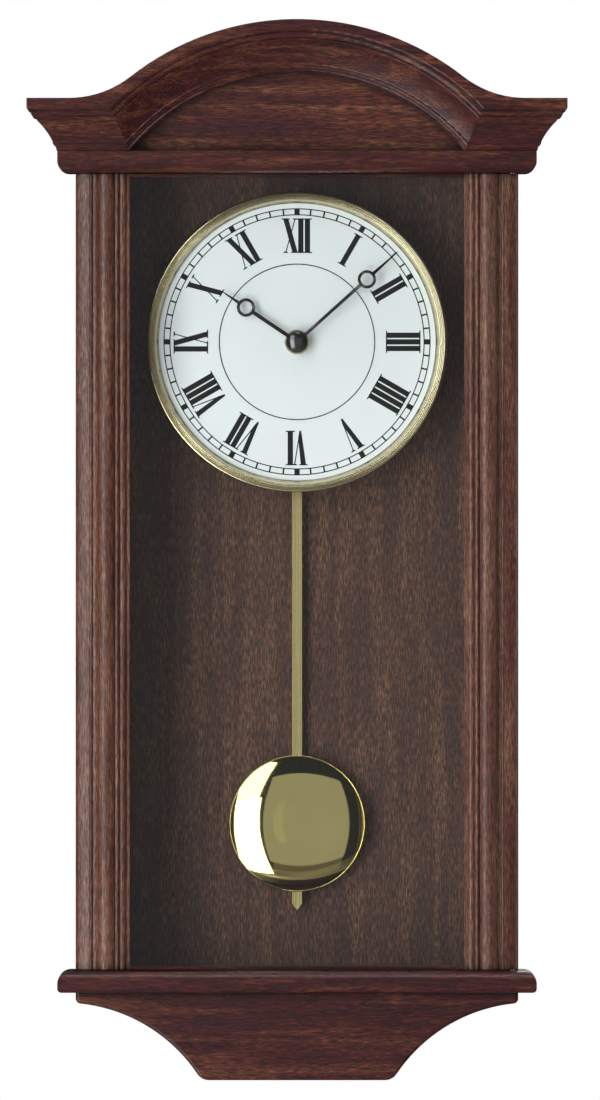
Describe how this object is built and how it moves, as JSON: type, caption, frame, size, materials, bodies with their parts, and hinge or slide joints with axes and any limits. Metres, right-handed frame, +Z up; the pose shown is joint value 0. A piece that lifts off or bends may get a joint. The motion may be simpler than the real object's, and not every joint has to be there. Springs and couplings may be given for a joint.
{
  "type": "pendulum wall clock",
  "caption": "Wooden pendulum wall clock with an arched moulded crown, glazed hinged door, roman dial in a brass bezel, brass bob and a quartz movement.",
  "frame": {"origin": "centre of the hanger keyhole, in the plane that rests against the wall", "axes": "+Z up, +Y into the wall, +X to the right as seen from the front; the dial faces -Y"},
  "size_m": [0.3062, 0.1197, 0.6009],
  "materials": {
    "walnut_case": "dark walnut stain under satin lacquer",
    "walnut_panel": "open-pored veneer, dark stain, satin",
    "plain_wood": "raw hardwood and board, unfinished",
    "zinc_steel": "zinc plated",
    "polished_brass": "polished and lacquered",
    "brushed_brass": "brushed along its length",
    "clear_glass": "clear mineral glass",
    "dial_white": "white enamel, printed in black",
    "black_enamel": "gloss black",
    "black_plastic": "moulded black",
    "white_plastic": "moulded natural acetal",
    "copper_winding": "enamelled copper wire",
    "circuit_green": "solder mask",
    "battery_wrap": "printed can, plain"
  },
  "bodies": {
    "case": {"apron_bottom": "walnut_case", "apron_cheek_left": "walnut_case", "apron_cheek_right": "walnut_case", "apron_front": "walnut_case", "back_panel": "walnut_panel", "battery": "battery_wrap", "battery_contacts": "zinc_steel", "case_dowels": "plain_wood", "circuit_board": "circuit_green", "crown_front": "walnut_case", "crown_return_left": "walnut_case", "crown_return_right": "walnut_case", "dial_backing": "plain_wood", "dial_bezel": "polished_brass", "dial_nut": "polished_brass", "dial_plate": "dial_white", "dial_posts": "brushed_brass", "dial_screws": "zinc_steel", "dial_washer": "polished_brass", "glue_blocks": "plain_wood", "hanger_plate": "zinc_steel", "hanger_rail": "plain_wood", "hanger_screws": "zinc_steel", "magnet_catch": "black_plastic", "motor_coil": "copper_winding", "movement_front_case": "black_plastic", "movement_rear_cover": "black_plastic", "pendulum_coil": "copper_winding", "pivot_bushes": "polished_brass", "plinth_board": "walnut_case", "side_board_left": "walnut_case", "side_board_right": "walnut_case", "stator": "zinc_steel", "top_board": "walnut_case", "train_plate": "white_plastic", "train_screws": "zinc_steel", "tympanum_panel": "walnut_case"},
    "door": {"door_stile_left": "walnut_case", "door_stile_right": "walnut_case", "door_rail_bottom": "walnut_case", "door_rail_top": "walnut_case", "door_glass": "clear_glass", "glazing_beads": "plain_wood", "door_pins": "zinc_steel", "strike_plate": "zinc_steel"},
    "minute": {"centre_arbor": "white_plastic", "minute_hand": "black_enamel", "hand_cap": "black_enamel"},
    "hour": {"hour_wheel": "white_plastic", "hour_hand": "black_enamel"},
    "motion": {"motion_wheel": "white_plastic"},
    "third": {"third_wheel": "white_plastic"},
    "rotor": {"rotor_pinion": "white_plastic", "rotor_magnet": "zinc_steel"},
    "setting": {"setting_knob": "white_plastic"},
    "pendulum": {"swing_arm": "black_plastic", "pendulum_magnet": "zinc_steel", "pendulum_lath": "brushed_brass", "bob_front": "polished_brass", "bob_back": "brushed_brass"}
  },
  "joints": [
    {"name": "door_hinge", "type": "hinge", "parent": "case", "child": "door", "pos_m": [0.1218, -0.081, -0.203], "axis": [0, 0, 1], "range_deg": [0, 105]},
    {"name": "pendulum_swing", "type": "hinge", "parent": "case", "child": "pendulum", "pos_m": [0, -0.025, -0.1264], "axis": [0, 1, 0], "range_deg": [-7, 7]},
    {"name": "minute_spin", "type": "hinge", "parent": "case", "child": "minute", "pos_m": [0, -0.04, -0.0744], "axis": [0, 1, 0], "continuous": true},
    {"name": "hour_spin", "type": "hinge", "parent": "case", "child": "hour", "pos_m": [0, -0.04, -0.0744], "axis": [0, 1, 0], "continuous": true},
    {"name": "motion_spin", "type": "hinge", "parent": "case", "child": "motion", "pos_m": [-0.0096, -0.04, -0.0744], "axis": [0, 1, 0], "continuous": true},
    {"name": "third_spin", "type": "hinge", "parent": "case", "child": "third", "pos_m": [0.00476, -0.04, -0.06616], "axis": [0, 1, 0], "continuous": true},
    {"name": "rotor_spin", "type": "hinge", "parent": "case", "child": "rotor", "pos_m": [-0.00199, -0.04, -0.06225], "axis": [0, 1, 0], "continuous": true},
    {"name": "setting_spin", "type": "hinge", "parent": "case", "child": "setting", "pos_m": [-0.01288, -0.04, -0.08342], "axis": [0, 1, 0], "continuous": true}
  ],
  "couplings": [
    {"joint": "hour_spin", "follows": "minute_spin", "ratio": 0.083333},
    {"joint": "motion_spin", "follows": "minute_spin", "ratio": -0.33333},
    {"joint": "third_spin", "follows": "minute_spin", "ratio": -7.5},
    {"joint": "rotor_spin", "follows": "minute_spin", "ratio": 90},
    {"joint": "setting_spin", "follows": "minute_spin", "ratio": 1}
  ]
}
